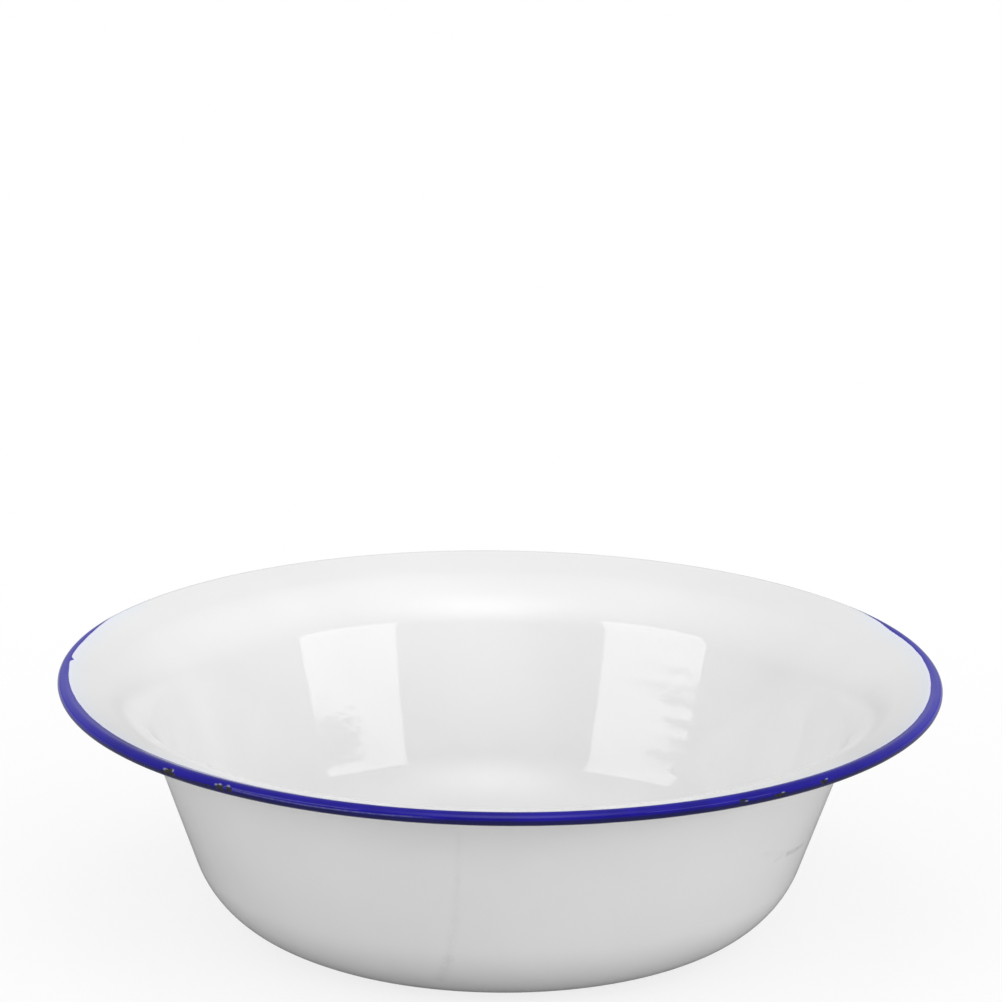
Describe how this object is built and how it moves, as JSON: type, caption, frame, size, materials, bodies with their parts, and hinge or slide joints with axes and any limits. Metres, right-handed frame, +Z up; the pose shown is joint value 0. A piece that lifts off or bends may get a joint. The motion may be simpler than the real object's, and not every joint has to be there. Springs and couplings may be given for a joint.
{
  "type": "enamel basin bowl",
  "caption": "Round white enamelled steel basin with sloping walls, a wide flared lip and a blue rolled rim.",
  "frame": {"origin": "centre of the base, in the plane of the standing ring", "axes": "+Z up along the bowl's axis; the bowl is round, so X and Y are level and free"},
  "size_m": [0.3, 0.3, 0.0875],
  "materials": {
    "steel": "satin",
    "ground_enamel": "satin",
    "white_enamel": "gloss",
    "blue_enamel": "gloss"
  },
  "bodies": {
    "root": {"steel_bowl": "steel", "ground_coat_inside": "ground_enamel", "ground_coat_outside": "ground_enamel", "white_coat_inside": "white_enamel", "white_coat_outside": "white_enamel", "blue_rim_edging": "blue_enamel"}
  },
  "joints": []
}
